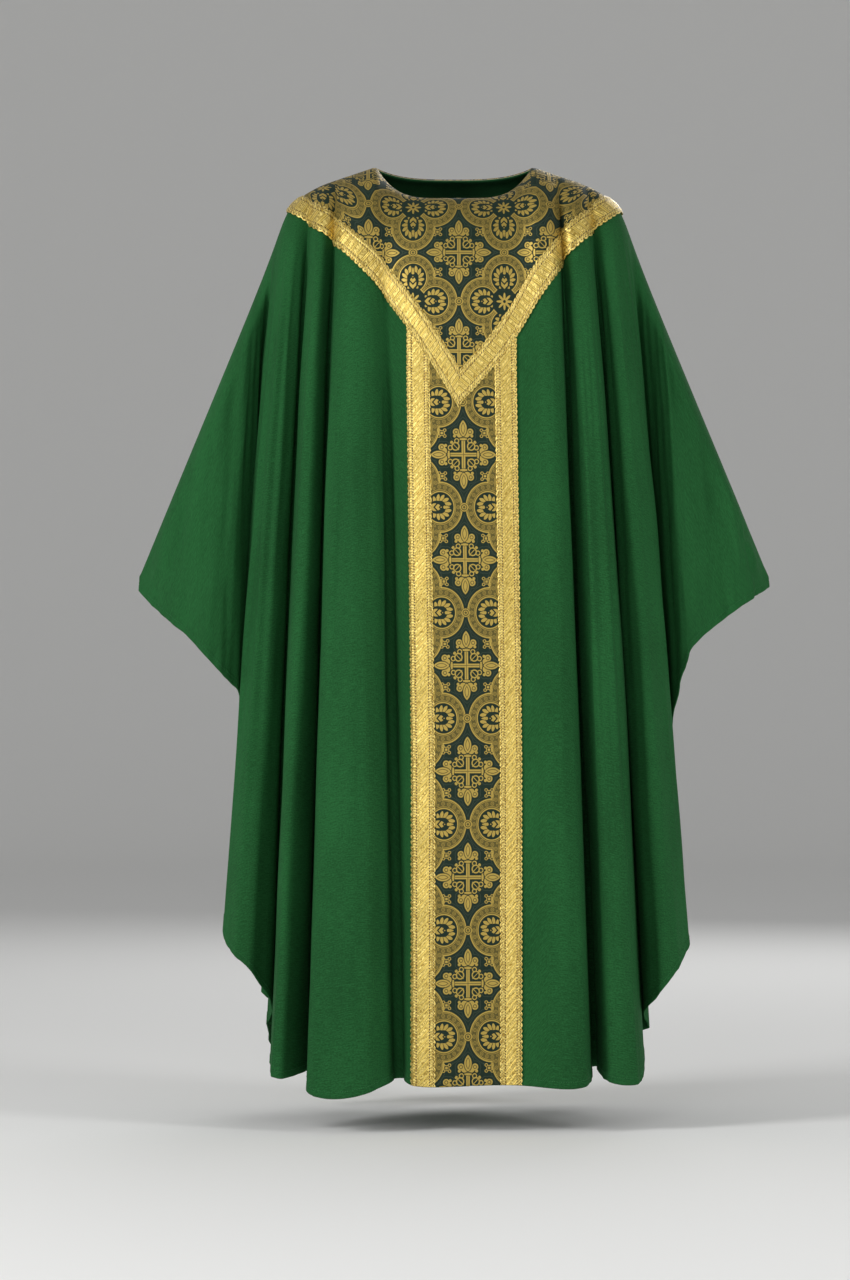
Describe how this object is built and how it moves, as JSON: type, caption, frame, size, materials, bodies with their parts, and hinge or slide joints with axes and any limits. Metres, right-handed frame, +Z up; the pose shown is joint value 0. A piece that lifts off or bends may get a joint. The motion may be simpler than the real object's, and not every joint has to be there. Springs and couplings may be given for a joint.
{
  "type": "chasuble",
  "caption": "Full gothic chasuble hanging in folds, with a V yoke and a centre column of patterned brocade edged with gold galloon on front and back.",
  "frame": {"origin": "middle of the neck opening, at the height of the sides of the neck", "axes": "+Z up, -Y towards the front of the garment, +X to the right seen from the front"},
  "size_m": [0.9119, 0.4596, 1.3267],
  "materials": {
    "body_cloth": "matt fine wool cloth",
    "brocade": "gold metallic brocade on a dark ground",
    "galloon": "bright gold metallic woven braid",
    "interlining": "plain unbleached cotton",
    "facing": "plain twill lining",
    "seam_tape": "woven cotton tape"
  },
  "bodies": {
    "root": {"front_left_body_panel": "body_cloth", "front_left_yoke_galloon": "galloon", "front_left_column_galloon": "galloon", "front_right_body_panel": "body_cloth", "front_right_yoke_galloon": "galloon", "front_right_column_galloon": "galloon", "front_yoke_interlining": "interlining", "front_column_interlining": "interlining", "front_yoke_brocade": "brocade", "front_column_brocade": "brocade", "front_neck_facing": "facing", "back_left_body_panel": "body_cloth", "back_left_yoke_galloon": "galloon", "back_left_column_galloon": "galloon", "back_right_body_panel": "body_cloth", "back_right_yoke_galloon": "galloon", "back_right_column_galloon": "galloon", "back_yoke_interlining": "interlining", "back_column_interlining": "interlining", "back_yoke_brocade": "brocade", "back_column_brocade": "brocade", "back_neck_facing": "facing", "left_shoulder_seam_tape": "seam_tape", "right_shoulder_seam_tape": "seam_tape"}
  },
  "joints": []
}
